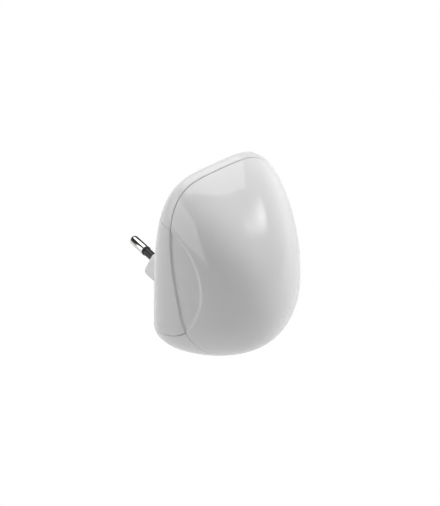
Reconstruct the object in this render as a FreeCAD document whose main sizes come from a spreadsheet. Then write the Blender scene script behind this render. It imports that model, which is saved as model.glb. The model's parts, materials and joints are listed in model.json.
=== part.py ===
"""Plug-in ultrasonic pest repeller with a two-pin EN 50075 plug.

Frame: X to the right, Y towards the wall, Z up, in millimetres. The origin is the centre of
the plug body's end face, the face that seats in the socket.

Every sub-part is made with Y = 0 in the plane of the housing's flat back and gets its place
in that frame from `SEAT`. Depth means distance in front of the back, so depth is -Y there.
"""

import FreeCAD, Part
import math
import os
import Sketcher
from FreeCAD import Placement, Rotation, Vector

DOC = FreeCAD.newDocument("pest_repeller")
X_AXIS = Vector(1, 0, 0)
Y_AXIS = Vector(0, 1, 0)
Z_AXIS = Vector(0, 0, 1)

# Driving dimensions, in millimetres and degrees.
SIZES = {
    # skin of the housing, as sections at growing depth
    "nose_depth": 50.4,
    "nose_height": 16.0,
    "crown_height": 67.1,
    "crown_depth": 6.3,
    "crown_back": 38.0,
    "keel_height": -29.1,
    "keel_depth": 4.0,
    "keel_back": -31.0,
    "half_width": 30.4,
    "width_depth": 9.85,
    "width_back": 24.8,
    "blend_length": 4.0,
    "back_round": 4.0,
    "crown_power": 1.3,
    "crown_tail": 2.1,
    "keel_power": 1.4,
    "keel_tail": 1.95,
    "width_power": 1.7,
    "width_tail": 1.5,
    "shoulder_power": 4.06,
    "wide_level_back": -0.54,
    "wide_level_nose": 0.11,
    # parting plane between front cover and rear shell
    "seam_depth": 24.65,
    "seam_lean": 11.6,
    "seam_gap": 0.35,
    "seam_groove": 0.9,
    # oval of the plug module and of the side recess, seen from the side
    "oval_depth": 9.5,
    "oval_height": 20.4,
    "oval_major": 28.4,
    "oval_minor": 22.6,
    "oval_lean": 11.9,
    "oval_gap": 0.15,
    "recess": 0.8,
    # walls
    "wall": 2.0,
    "under_inset": 2.1,
    "under_wall": 1.6,
    "under_margin": 3.0,
    "lip_inset": 2.15,
    "lip_thickness": 1.1,
    "lip_length": 2.5,
    # EN 50075 plug
    "boss_length": 18.0,
    "boss_width": 35.3,
    "boss_flat": 26.1,
    "boss_height": 13.7,
    "boss_corner": 3.0,
    "boss_edge": 1.2,
    "pin_spacing": 18.6,
    "pin_radius": 2.0,
    "pin_length": 19.0,
    "bare_length": 9.3,
    "core_radius": 1.3,
    "core_inside": 5.0,
    "rivet_thick": 0.55,
    "anchor_start": 6.0,
    "anchor_length": 2.0,
    "sleeve_radius": 1.7,
    "sleeve_sunk": 3.0,
    "collar_length": 1.0,
    "play": 0.02,
    # contact tab
    "tab_width": 4.0,
    "tab_thick": 0.5,
    "tab_depth": 3.9,
    "tab_foot": -3.0,
    "tab_top": 7.0,
    "tab_lug": 1.6,
    # rating plate
    "plate_width": 26.0,
    "plate_height": 16.0,
    "plate_thick": 0.3,
    "plate_bottom": 14.0,
    # circuit board
    "board_width": 40.0,
    "board_height": 52.0,
    "board_thick": 1.6,
    "board_depth": 22.0,
    "board_bottom": -5.0,
    "post_across": 16.0,
    "post_low": 0.0,
    "post_high": 40.0,
    "post_radius": 2.8,
    # parts on the circuit board
    "film_width": 17.5,
    "film_height": 8.5,
    "film_stand": 14.5,
    "can_radius": 5.0,
    "can_stand": 15.0,
    "varistor_radius": 5.5,
    "varistor_thick": 4.0,
    "fuse_radius": 1.9,
    "fuse_length": 10.0,
    "bridge_width": 8.4,
    "bridge_height": 6.4,
    "bridge_stand": 3.0,
    "chip_width": 9.4,
    "chip_height": 6.4,
    "chip_stand": 3.3,
    "transistor_radius": 2.3,
    "transistor_stand": 4.6,
    "resistor_radius": 1.15,
    "resistor_length": 6.3,
    "lead_radius": 0.3,
    "core_flange": 6.0,
    "core_waist": 3.0,
    "core_stand": 13.0,
    "winding_radius": 5.2,
    "rim_thick": 1.5,
    # tweeter, measured along its own axis from the skin
    "tweeter_depth": 17.0,
    "tweeter_height": -25.2,
    "tweeter_tilt": 25.7,
    "seat_radius": 12.2,
    "seat_top": 5.0,
    "sound_floor": 2.8,
    "sound_radius": 9.0,
    "slot_width": 1.5,
    "slot_pitch": 3.0,
    "screen_thick": 0.3,
    "gasket_thick": 0.8,
    "flange_radius": 10.5,
    "flange_thick": 1.4,
    "cup_radius": 7.0,
    "cup_top": 13.0,
    "cup_wall": 1.0,
    # screws
    "housing_across": 15.0,
    "housing_up": 54.0,
    "screw_radius": 1.45,
    "screw_head": 2.6,
    "screw_head_thick": 1.8,
    "small_screw": 1.1,
    "small_head": 2.1,
    "small_head_thick": 1.4,
}


def make_sheet():
    """The spreadsheet that holds every driving dimension under its own name."""
    sheet = DOC.addObject("Spreadsheet::Sheet", "Sizes")
    for row, (alias, value) in enumerate(SIZES.items(), start=1):
        sheet.set("A%d" % row, alias)
        sheet.set("B%d" % row, str(value))
        sheet.setAlias("B%d" % row, alias)
    DOC.recompute()
    return sheet


SHEET = make_sheet()


def size(alias):
    """Value of one driving dimension, read from the sheet."""
    return float(SHEET.get(alias))


def value(expression):
    """Number that a sheet expression stands for now."""
    return float(SHEET.evalExpression(expression))


# ---------------------------------------------------------------- helpers


def bind(thing, **expressions):
    """Bind properties of a document object to expressions over the sheet."""
    for name, expression in expressions.items():
        thing.setExpression(name, expression)
    return thing


def cylinder(name, radius, height, at, axis=Z_AXIS):
    """A Part cylinder whose base centre is `at`; radius and height are sheet expressions."""
    thing = DOC.addObject("Part::Cylinder", name)
    bind(thing, Radius=radius, Height=height)
    thing.Placement = Placement(Vector(*at), Rotation(Z_AXIS, axis))
    return thing


def box(name, length, width, height, at):
    """A Part box with its lowest corner at `at`; its sides are sheet expressions."""
    thing = DOC.addObject("Part::Box", name)
    bind(thing, Length=length, Width=width, Height=height)
    thing.Placement = Placement(Vector(*at), Rotation())
    return thing


def fuse(name, things):
    """Union of several objects."""
    thing = DOC.addObject("Part::MultiFuse", name)
    thing.Shapes = things
    thing.Refine = True
    return thing


def cut(name, base, tool):
    """`base` with `tool` taken away."""
    thing = DOC.addObject("Part::Cut", name)
    thing.Base = base
    thing.Tool = tool
    return thing


def group(name, things):
    """Separate solids kept together as one node."""
    thing = DOC.addObject("Part::Compound", name)
    thing.Links = things
    return thing


SEAT = Placement(Vector(0, -size("boss_length"), 0), Rotation())


def node(thing, label):
    """Name a finished sub-part, move it to the plug's frame and list it for writing."""
    thing.Label = label
    thing.Placement = SEAT.multiply(thing.Placement)
    NODES.append(thing)
    return thing


def free_form(name, shape):
    """A sub-part whose shape no primitive or sketch gives."""
    thing = DOC.addObject("Part::Feature", name)
    thing.Shape = shape
    return thing


def profile_sketch(body, name, role, outline):
    """Closed straight-sided sketch; every corner's two coordinates are sheet expressions."""
    sketch = body.newObject("Sketcher::SketchObject", name)
    plane = [f for f in body.Origin.OriginFeatures if f.Role == role][0]
    sketch.AttachmentSupport = [(plane, "")]
    sketch.MapMode = "FlatFace"
    corners = [Vector(value(across), value(along), 0) for across, along in outline]
    count = len(corners)
    for i in range(count):
        sketch.addGeometry(Part.LineSegment(corners[i], corners[(i + 1) % count]), False)
    for i in range(count):
        sketch.addConstraint(Sketcher.Constraint("Coincident", i, 2, (i + 1) % count, 1))
    for i, texts in enumerate(outline):
        for kind, axis, text in (("DistanceX", -2, texts[0]), ("DistanceY", -1, texts[1])):
            if text == "0":
                sketch.addConstraint(Sketcher.Constraint("PointOnObject", i, 1, axis))
                continue
            rule = Sketcher.Constraint(kind, -1, 1, i, 1, value(text))
            index = sketch.addConstraint(rule)
            sketch.renameConstraint(index, "%s%d" % (kind, i))
            sketch.setExpression("Constraints.%s%d" % (kind, i), text)
    return sketch


def turned_body(name, outline, at=(0, 0, 0), axis=Z_AXIS):
    """PartDesign body turned about its own Z from (radius, height) corners."""
    body = DOC.addObject("PartDesign::Body", name)
    sketch = profile_sketch(body, name + "_profile", "XZ_Plane", outline)
    turn = body.newObject("PartDesign::Revolution", name + "_turn")
    turn.Profile = sketch
    turn.ReferenceAxis = (sketch, ["V_Axis"])
    turn.Angle = 360.0
    body.Tip = turn
    body.Placement = Placement(Vector(*at), Rotation(Z_AXIS, axis))
    return body


def padded_body(name, role, outline, length, both_ways, at=(0, 0, 0)):
    """PartDesign body padded from a straight-sided outline by a sheet expression."""
    body = DOC.addObject("PartDesign::Body", name)
    sketch = profile_sketch(body, name + "_profile", role, outline)
    pad = body.newObject("PartDesign::Pad", name + "_pad")
    pad.Profile = sketch
    pad.Midplane = both_ways
    pad.setExpression("Length", length)
    body.Tip = pad
    body.Placement = Placement(Vector(*at), Rotation())
    return body


NODES = []


# ---------------------------------------------------------------- skin of the housing

RING_POINTS = 56


def ramp(v):
    """Smooth ramp: about 0 below zero and about v above it."""
    return (v + math.hypot(v, size("blend_length"))) / 2


def reach(depth, peak, back, edge_name):
    """How far one edge of the skin stands out at this depth, down to 0 at the nose.

    `edge_name` is crown, keel or width. `peak` is its greatest reach, `back` its reach at
    the flat back.
    """
    nose = size("nose_depth")
    peak_depth = size(edge_name + "_depth")
    front = ramp(depth - peak_depth) - ramp(-peak_depth)
    front /= ramp(nose - peak_depth) - ramp(-peak_depth)
    rear = ramp(peak_depth - depth) - ramp(peak_depth - nose)
    rear /= ramp(peak_depth) - ramp(peak_depth - nose)
    front = min(max(front, 0.0), 1.0)
    rear = min(max(rear, 0.0), 1.0)
    edge = size("back_round")
    short = max(edge - depth, 0.0)
    rounding = edge - math.sqrt(edge * edge - short * short)
    arch = peak * math.sqrt(1 - front ** size(edge_name + "_power"))
    return arch - (peak - back) * rear ** size(edge_name + "_tail") - rounding


def section(depth, inset):
    """Half width, level of greatest width, heights above and below it, and shoulder power."""
    nose = size("nose_depth")
    level = size("nose_height")
    own = (depth - inset) * nose / (nose - 2 * inset)
    own = min(max(own, 0.0), nose)
    up = size("crown_height") - level
    down = level - size("keel_height")
    wide = size("half_width")
    top = reach(own, up, size("crown_back") - level, "crown")
    low = reach(own, down, level - size("keel_back"), "keel")
    half = reach(own, wide, size("width_back"), "width")
    top *= 1 - inset / up
    low *= 1 - inset / down
    half *= 1 - inset / wide
    part = own / nose
    bias = size("wide_level_back") * (1 - part) + size("wide_level_nose") * part
    centre = level + (top - low) / 2 + bias * (top + low) / 2
    power = 2 + (size("shoulder_power") - 2) * (1 - part * part)
    return half, centre, level + top - centre, centre - level + low, power


def skin_wire(depth, inset):
    """Closed section of the skin: square shoulders above, half an ellipse below."""
    half, centre, above, below, power = section(depth, inset)
    points = []
    for i in range(RING_POINTS):
        angle = 2 * math.pi * i / RING_POINTS
        across = abs(math.sin(angle)) / half
        if math.cos(angle) >= 0:
            radius = (across ** power + (math.cos(angle) / above) ** power) ** (-1 / power)
        else:
            radius = (across ** 2 + (math.cos(angle) / below) ** 2) ** -0.5
        points.append(Vector(radius * math.sin(angle), -depth, centre + radius * math.cos(angle)))
    curve = Part.BSplineCurve()
    steps = [i / RING_POINTS for i in range(RING_POINTS + 1)]
    curve.interpolate(Points=points, PeriodicFlag=True, Parameters=steps)
    return Part.Wire([curve.toShape()])


def envelope(inset):
    """Solid inside the skin, shrunk by `inset` all round."""
    nose = size("nose_depth")
    edge = size("back_round")
    own = [edge * (1 - math.cos(math.radians(18 * k))) for k in range(5)]
    own += [edge + (0.86 * nose - edge) * k / 13 for k in range(14)]
    own += [nose * (0.86 + 0.1399 * math.sin(math.radians(15 * k))) for k in range(1, 7)]
    depths = [inset + d * (nose - 2 * inset) / nose for d in own]
    return Part.makeLoft([skin_wire(d, inset) for d in depths], True, False)


# ---------------------------------------------------------------- cutting regions


def slab(rear, front):
    """Everything between two planes parallel to the seam, measured forwards from it."""
    block = Part.makeBox(200, front - rear, 260, Vector(-100, -front, -130))
    block.rotate(Vector(0, 0, 0), X_AXIS, -size("seam_lean"))
    block.translate(Vector(0, -size("seam_depth"), 0))
    return block


def oval(grow):
    """The side oval, grown by `grow`, run right through the housing from side to side."""
    lean = math.radians(size("oval_lean"))
    long_way = Vector(0, -math.sin(lean), math.cos(lean))
    major = size("oval_major") + grow
    minor = size("oval_minor") + grow
    ellipse = Part.Ellipse(Vector(0, 0, 0), major, minor)
    face = Part.Face(Part.Wire([ellipse.toShape()]))
    prism = face.extrude(Vector(0, 0, 120))
    prism.translate(Vector(0, 0, -60))
    centre = Vector(0, -size("oval_depth"), size("oval_height"))
    prism.Placement = Placement(centre, Rotation(long_way, Vector(), X_AXIS, "ZXY")).multiply(
        prism.Placement
    )
    return prism


def rod(radius, start, end, across, up):
    """Cylinder parallel to Y between two depths; start is the shallower one."""
    return Part.makeCylinder(radius, end - start, Vector(across, -start, up), -Y_AXIS)


def layer(outer, inner):
    """Shell between two insets of the skin."""
    return envelope(outer).cut(envelope(inner))


BEHIND = -90
AHEAD = 90
LIP_ROOM = 0.8
FRAME_TWEETER = Placement(
    Vector(0, -size("tweeter_depth"), size("tweeter_height")),
    Rotation(X_AXIS, -size("tweeter_tilt")),
)


def on_tweeter(shape):
    """Move a shape from the tweeter's own frame, +Z into the housing, to its place."""
    shape.Placement = FRAME_TWEETER.multiply(shape.Placement)
    return shape


# ---------------------------------------------------------------- housing


def front_cover():
    """One-piece domed cover with a shallow oval recess on each side and a locating lip."""
    wall = size("wall")
    lip = size("lip_inset")
    lip_inner = lip + size("lip_thickness")
    cover = layer(0, wall).common(slab(0, AHEAD))
    cover = cover.cut(layer(0, size("recess")).common(oval(0)))
    root = layer(wall - 0.1, lip_inner).common(slab(0, 1.5))
    tongue = layer(lip, lip_inner).common(slab(-size("lip_length"), 0.5))
    across = size("housing_across")
    up = size("housing_up")
    bosses = [rod(3.2, 5, 23, side * across, up) for side in (-1, 1)]
    inside = envelope(wall - 0.1)
    bosses = [b.common(inside).common(slab(0, AHEAD)) for b in bosses]
    cover = cover.fuse([root, tongue] + bosses)
    for side in (-1, 1):
        cover = cover.cut(rod(size("screw_radius") + 0.05, 5, 20.6, side * across, up))
    return free_form("front_cover", cover.Solids[0])


def rear_shell():
    """Rim behind the seam, and under the plug module a sunk wall that carries the board."""
    wall = size("wall")
    under = size("under_inset")
    under_inner = under + size("under_wall")
    lip_end = -size("lip_length") - LIP_ROOM
    margin = oval(size("under_margin"))
    opening = oval(size("oval_gap"))
    rim = layer(0, wall).common(slab(BEHIND, 0)).cut(opening)
    sunk = layer(under, under_inner).common(slab(BEHIND, lip_end)).common(margin)
    bridge = layer(wall - 0.1, under_inner).common(slab(BEHIND, lip_end))
    bridge = bridge.common(margin).cut(opening)
    across = size("housing_across")
    up = size("housing_up")
    solid = envelope(0)
    posts = [rod(4.2, 0, 30, side * across, up) for side in (-1, 1)]
    posts = [p.common(solid).common(slab(BEHIND, -0.05)) for p in posts]
    for side in (-1, 1):
        for level in ("post_low", "post_high"):
            place = (side * size("post_across"), size(level))
            stand = rod(size("post_radius"), under + 0.5, size("board_depth"), *place)
            posts.append(stand)
    seat = Part.makeCylinder(size("seat_radius"), size("seat_top") + 4, Vector(0, 0, -4))
    seat = on_tweeter(seat).common(solid).common(slab(BEHIND, lip_end))
    shell = rim.fuse([sunk, bridge, seat] + posts)
    shell = shell.cut(slab(-size("seam_gap"), 0).cut(envelope(size("seam_groove"))))
    shell = shell.cut(on_tweeter(sound_holes()))
    for side in (-1, 1):
        shell = shell.cut(rod(1.6, -5, 30, side * across, up))
        shell = shell.cut(rod(3.0, -5, 6, side * across, up))
        shell = shell.cut(rod(2.6, -5, 10, side * size("pin_spacing") / 2, 0))
        shell = shell.cut(rod(size("small_screw") + 0.1, -5, 10, 0, side * MODULE_SCREW_UP))
        for level in ("post_low", "post_high"):
            pilot = size("small_screw") + 0.05
            depth = size("board_depth")
            place = (side * size("post_across"), size(level))
            shell = shell.cut(rod(pilot, depth - 8, depth + 1, *place))
    return free_form("rear_shell", shell.Solids[0])


def sound_holes():
    """Stepped pocket under the tweeter and the slots from it through the skin."""
    radius = size("sound_radius")
    pocket = Part.makeCylinder(radius, 4, Vector(0, 0, size("sound_floor")))
    flange = Part.makeCylinder(size("flange_radius") + 0.15, 4, Vector(0, 0, size("seat_top")))
    reach_in = radius - 1.5
    width = size("slot_width")
    count = int(reach_in / size("slot_pitch"))
    slots = []
    for i in range(-count, count + 1):
        middle = i * size("slot_pitch")
        half = math.sqrt(reach_in ** 2 - middle ** 2)
        slot = Part.makeBox(2 * half, width, 12, Vector(-half, middle - width / 2, -6))
        ends = [Part.makeCylinder(width / 2, 12, Vector(x, middle, -6)) for x in (-half, half)]
        slots.append(slot.fuse(ends))
    return pocket.fuse([flange] + slots)


MODULE_SCREW_UP = 3.9


def plug_boss():
    """Six-sided EN 50075 plug body with rounded corners and a rounded end edge."""
    tall = size("boss_height") / 2
    flat = size("boss_flat") / 2
    wide = size("boss_width") / 2
    root = 1.5
    corners = [(flat, tall), (-flat, tall), (-wide, 0), (-flat, -tall), (flat, -tall), (wide, 0)]
    points = [Vector(x, -root, z) for x, z in corners]
    face = Part.Face(Part.makePolygon(points + points[:1]))
    boss = face.extrude(Vector(0, root + size("boss_length"), 0))
    along = [e for e in boss.Edges if abs(e.tangentAt(e.FirstParameter).y) > 0.9]
    boss = boss.makeFillet(size("boss_corner"), along)
    end = size("boss_length")
    rim = [e for e in boss.Edges if e.BoundBox.YMin > end - 0.01]
    return boss.makeFillet(size("boss_edge"), rim)


def plug_module():
    """Saddle that fills the side ovals and the back between them, with the plug boss."""
    inside_oval = oval(-size("oval_gap"))
    module = layer(0, size("wall")).common(slab(BEHIND, 0)).common(inside_oval)
    module = module.fuse(plug_boss())
    module = module.cut(slab(-size("seam_gap"), 0).cut(envelope(size("seam_groove"))))
    play = size("play")
    for side in (-1, 1):
        x = side * size("pin_spacing") / 2
        anchor = size("anchor_start")
        sleeve = size("boss_length") - size("sleeve_sunk")
        holes = [
            rod(size("core_radius") + play, -sleeve, 8, x, 0),
            rod(size("pin_radius") + play, -anchor - size("anchor_length") - play, play - anchor, x, 0),
            rod(size("sleeve_radius") + play, -40, play - sleeve, x, 0),
            rod(size("small_screw") + 0.05, -7, 5, 0, side * MODULE_SCREW_UP),
        ]
        for hole in holes:
            module = module.cut(hole)
    width = size("plate_width") + 0.3
    height = size("plate_height") + 0.3
    thick = size("plate_thick")
    corner = Vector(-width / 2, -thick, size("plate_bottom") - 0.15)
    module = module.cut(Part.makeBox(width, 5, height, corner))
    return free_form("plug_module", module.Solids[0])


# ---------------------------------------------------------------- plug contacts


def pin(side, x):
    """Contact pin: bare round-ended tip, thin core, anchor collar and riveted inner end."""
    name = "pin_" + side
    rear = "Sizes.boss_length + Sizes.pin_length"
    tip_start = value("Sizes.boss_length + Sizes.pin_length - Sizes.bare_length")
    inner = -size("core_inside")
    core = cylinder(
        name + "_core",
        "Sizes.core_radius",
        "Sizes.core_inside + %s - Sizes.bare_length" % rear,
        (x, inner, 0),
        Y_AXIS,
    )
    rivet = cylinder(name + "_rivet", "Sizes.pin_radius", "Sizes.rivet_thick", (x, inner, 0), Y_AXIS)
    anchor = cylinder(
        name + "_anchor",
        "Sizes.pin_radius",
        "Sizes.anchor_length",
        (x, size("anchor_start"), 0),
        Y_AXIS,
    )
    tip = cylinder(
        name + "_tip",
        "Sizes.pin_radius",
        "Sizes.bare_length - Sizes.pin_radius",
        (x, tip_start, 0),
        Y_AXIS,
    )
    ball = DOC.addObject("Part::Sphere", name + "_ball")
    bind(ball, Radius="Sizes.pin_radius")
    ball.Placement = Placement(Vector(x, value(rear) - size("pin_radius"), 0), Rotation())
    return fuse(name, [core, rivet, anchor, tip, ball])


def sleeve(side, x):
    """Insulating sleeve with a collar as wide as the bare tip."""
    name = "sleeve_" + side
    start = value("Sizes.boss_length - Sizes.sleeve_sunk")
    end = value("Sizes.boss_length + Sizes.pin_length - Sizes.bare_length")
    length = "Sizes.pin_length - Sizes.bare_length + Sizes.sleeve_sunk"
    tube = cylinder(name + "_tube", "Sizes.sleeve_radius", length, (x, start, 0), Y_AXIS)
    collar = cylinder(
        name + "_collar",
        "Sizes.pin_radius",
        "Sizes.collar_length",
        (x, end - size("collar_length"), 0),
        Y_AXIS,
    )
    bore = cylinder(
        name + "_bore",
        "Sizes.core_radius + Sizes.play",
        length + " + 2",
        (x, start - 1, 0),
        Y_AXIS,
    )
    return cut(name, fuse(name + "_body", [tube, collar]), bore)


def tab(side, x):
    """Brass strip from the pin's riveted end forward to a lug through the board."""
    name = "tab_" + side
    back = "-Sizes.tab_depth"
    front = "-(Sizes.tab_depth + Sizes.tab_thick)"
    board = "-(Sizes.board_depth - 0.1)"
    outline = [
        (back, "Sizes.tab_foot"),
        (back, "Sizes.tab_top"),
        (board, "Sizes.tab_top"),
        (board, "Sizes.tab_top - Sizes.tab_thick"),
        (front, "Sizes.tab_top - Sizes.tab_thick"),
        (front, "Sizes.tab_foot"),
    ]
    strip = padded_body(name + "_strip", "YZ_Plane", outline, "Sizes.tab_width", True, (x, 0, 0))
    lug = box(
        name + "_lug",
        "Sizes.tab_lug",
        "Sizes.board_thick + 1.1",
        "Sizes.tab_thick",
        (
            x - size("tab_lug") / 2,
            -size("board_depth") - size("board_thick") - 0.9,
            size("tab_top") - size("tab_thick"),
        ),
    )
    hole = cylinder(
        name + "_hole",
        "Sizes.core_radius + Sizes.play",
        "4 * Sizes.tab_thick",
        (x, -size("tab_depth") + size("tab_thick"), 0),
        -Y_AXIS,
    )
    return cut(name, fuse(name + "_whole", [strip, lug]), hole)


def rating_plate():
    """Blank metal plate let into the back above the plug."""
    gap = 0.02
    corner = (-size("plate_width") / 2, gap - size("plate_thick"), size("plate_bottom"))
    plate = box(
        "plate",
        "Sizes.plate_width",
        "Sizes.plate_thick - 0.05",
        "Sizes.plate_height",
        corner,
    )
    return plate


# ---------------------------------------------------------------- screws


def screw(name, radius, head, head_thick, length, at, axis):
    """Pan-head screw with a cross recess; `at` is under the head, `axis` points to the tip."""
    radius_now = value(radius)
    shank = cylinder(name + "_shank", radius, str(length - radius_now), (0, 0, 0))
    point = DOC.addObject("Part::Cone", name + "_point")
    bind(point, Radius1=radius, Height=radius)
    point.Radius2 = 0.2
    point.Placement = Placement(Vector(0, 0, length - radius_now), Rotation())
    cap = cylinder(name + "_cap", head, head_thick, (0, 0, -value(head_thick)))
    whole = fuse(name + "_whole", [shank, point, cap])
    arm = 1.3 * value(head)
    recess = []
    for i, (wide, deep) in enumerate(((arm, 0.6), (0.6, arm))):
        bar = DOC.addObject("Part::Box", "%s_cross%d" % (name, i))
        bar.Length = wide
        bar.Width = deep
        bar.Height = 1.0
        bar.Placement = Placement(Vector(-wide / 2, -deep / 2, -value(head_thick) - 0.2), Rotation())
        recess.append(bar)
    thing = cut(name, whole, fuse(name + "_cross", recess))
    thing.Placement = Placement(Vector(*at), Rotation(Z_AXIS, axis))
    return thing


def housing_screws():
    """Two screws from the back into the cover's bosses."""
    screws = []
    for side, word in ((-1, "left"), (1, "right")):
        at = (side * size("housing_across"), -6.0, size("housing_up"))
        screws.append(
            screw(
                "housing_screw_" + word,
                "Sizes.screw_radius",
                "Sizes.screw_head",
                "Sizes.screw_head_thick",
                14.0,
                at,
                -Y_AXIS,
            )
        )
    return group("housing_screw_set", screws)


def board_screws():
    """Four screws from the front through the board into its posts."""
    screws = []
    depth = size("board_depth") + size("board_thick")
    for i, (side, level) in enumerate(
        (s, z) for s in (-1, 1) for z in ("post_low", "post_high")
    ):
        at = (side * size("post_across"), -depth - 0.01, size(level))
        screws.append(
            screw(
                "board_screw_%d" % i,
                "Sizes.small_screw",
                "Sizes.small_head",
                "Sizes.small_head_thick",
                7.0,
                at,
                Y_AXIS,
            )
        )
    return group("board_screw_set", screws)


def module_screws():
    """Two screws from inside, through the sunk wall into the plug boss between the pins."""
    inner = size("under_inset") + size("under_wall") + 0.02
    screws = []
    for i, side in enumerate((-1, 1)):
        at = (0, -inner, side * MODULE_SCREW_UP)
        screws.append(
            screw(
                "module_screw_%d" % i,
                "Sizes.small_screw",
                "Sizes.small_head",
                "Sizes.small_head_thick",
                9.0,
                at,
                Y_AXIS,
            )
        )
    return group("module_screw_set", screws)


# ---------------------------------------------------------------- circuit board and its parts

FACE = -size("board_depth") - size("board_thick")


def circuit_board():
    """Upright board with screw holes and slots for the contact tabs' lugs."""
    half = "Sizes.board_width / 2"
    low = "Sizes.board_bottom"
    high = "Sizes.board_bottom + Sizes.board_height"
    outline = [("-" + half, low), (half, low), (half, high), ("-" + half, high)]
    middle = -size("board_depth") - size("board_thick") / 2
    blank = padded_body("board_blank", "XZ_Plane", outline, "Sizes.board_thick", True, (0, middle, 0))
    holes = []
    for side in (-1, 1):
        for level in ("post_low", "post_high"):
            at = (side * size("post_across"), FACE - 1, size(level))
            name = "board_hole_%d" % len(holes)
            holes.append(cylinder(name, "Sizes.small_screw + 0.15", "5", at, Y_AXIS))
        at = (side * size("pin_spacing") / 2 - 1.0, FACE - 1, size("tab_top") - 0.7)
        holes.append(box("board_slot_%d" % len(holes), "2", "5", "0.9", at))
    return cut("board", blank, fuse("board_holes", holes))


def on_board(x, z, gap=0.02):
    """Point on the board's front face, just clear of it."""
    return (x, FACE - gap, z)


def block_part(name, size_name, x, z, edge):
    """Moulded block standing on the board, with softened edges."""
    width = size(size_name + "_width")
    height = size(size_name + "_height")
    stand = size(size_name + "_stand")
    at = (x - width / 2, FACE - 0.02 - stand, z - height / 2)
    blank = box(
        name + "_block",
        "Sizes.%s_width" % size_name,
        "Sizes.%s_stand" % size_name,
        "Sizes.%s_height" % size_name,
        at,
    )
    DOC.recompute()
    soft = DOC.addObject("Part::Fillet", name)
    soft.Base = blank
    soft.Edges = [(i + 1, edge, edge) for i in range(len(blank.Shape.Edges))]
    return soft


def film_capacitor():
    """Mains dropper capacitor in a moulded box."""
    return block_part("film", "film", -9.0, 25.0, 0.5)


def electrolytic_capacitor():
    """Aluminium can standing on the board, with a rolled groove near its foot."""
    radius = "Sizes.can_radius"
    groove = "Sizes.can_radius - 0.4"
    top = "Sizes.can_stand"
    outline = [
        ("0", "0"),
        (radius, "0"),
        (radius, "1.6"),
        (groove, "2.0"),
        (groove, "2.4"),
        (radius, "2.8"),
        (radius, top + " - 0.6"),
        ("Sizes.can_radius - 0.6", top),
        ("0", top),
    ]
    return turned_body("can", outline, on_board(9.5, 25.0), -Y_AXIS)


def varistor():
    """Coated disc standing edge-on above the board."""
    radius = size("varistor_radius")
    at = (-15.0, FACE - 1.2 - radius, 10.5)
    disc = cylinder("varistor_disc", "Sizes.varistor_radius", "Sizes.varistor_thick", at, X_AXIS)
    DOC.recompute()
    soft = DOC.addObject("Part::Fillet", "varistor_soft")
    soft.Base = disc
    rims = [i + 1 for i, e in enumerate(disc.Shape.Edges) if len(e.Vertexes) == 1]
    soft.Edges = [(i, 1.2, 1.2) for i in rims]
    x = at[0] + size("varistor_thick") / 2
    legs = [
        cylinder(
            "varistor_leg_%d" % i,
            "Sizes.lead_radius",
            "3.2",
            (x, FACE - 0.02, at[2] + up),
            -Y_AXIS,
        )
        for i, up in enumerate((-2.5, 2.5))
    ]
    return fuse("varistor_part", [soft] + legs)


def axial(name, radius, length, x, z, along):
    """Axial part lying just above the board on its own two bent leads."""
    half = value(length) / 2
    lift = value(radius) + 0.6
    middle = Vector(x, FACE - lift, z)
    start = middle - along * half
    body = cylinder(name + "_body", radius, length, tuple(start), along)
    wire = cylinder(
        name + "_wire",
        "Sizes.lead_radius",
        length + " + 3",
        tuple(middle - along * (half + 1.5)),
        along,
    )
    legs = []
    for i, way in enumerate((-1, 1)):
        foot = middle + along * way * (half + 1.5)
        legs.append(
            cylinder(
                "%s_leg%d" % (name, i),
                "Sizes.lead_radius",
                str(lift - 0.02),
                tuple(foot),
                Y_AXIS,
            )
        )
    return fuse(name, [body, wire] + legs)


def fusible_resistor():
    """Larger axial resistor that opens as a fuse."""
    return axial("fuse", "Sizes.fuse_radius", "Sizes.fuse_length", 15.5, 10.5, Z_AXIS)


def resistors():
    """Row of small axial resistors below the coil."""
    places = [(-5.5, -2.8), (5.5, -2.8), (-7.5, 35.0), (7.5, 35.0)]
    things = []
    for i, (x, z) in enumerate(places):
        name = "resistor_%d" % i
        things.append(axial(name, "Sizes.resistor_radius", "Sizes.resistor_length", x, z, X_AXIS))
    return group("resistor_set", things)


def bridge_rectifier():
    """Flat moulded bridge."""
    return block_part("bridge", "bridge", 9.5, 15.0, 0.4)


def driver_chip():
    """Moulded eight-pin timer chip that drives the tweeter, with its feet."""
    width = size("chip_width")
    height = size("chip_height")
    stand = size("chip_stand")
    x0 = 0.0
    z0 = 42.0
    moulding = box(
        "chip_moulding",
        "Sizes.chip_width",
        "Sizes.chip_stand",
        "Sizes.chip_height",
        (x0 - width / 2, FACE - 0.5 - stand, z0 - height / 2),
    )
    notch = cylinder("chip_notch", "0.8", "0.6", (x0 - width / 2, FACE - stand - 0.6, z0), Y_AXIS)
    pieces = [cut("chip_body", moulding, notch)]
    for row, way in enumerate((-1, 1)):
        for i in range(4):
            x = x0 + (i - 1.5) * 2.54 - 0.4
            inner = z0 + way * (height / 2 + 0.2) - 0.35
            foot = box(
                "chip_foot_%d%d" % (row, i),
                "0.8",
                "2.4",
                "0.7",
                (x, FACE - 0.02 - 2.4, inner),
            )
            pieces.append(foot)
    return fuse("chip", pieces)


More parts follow.
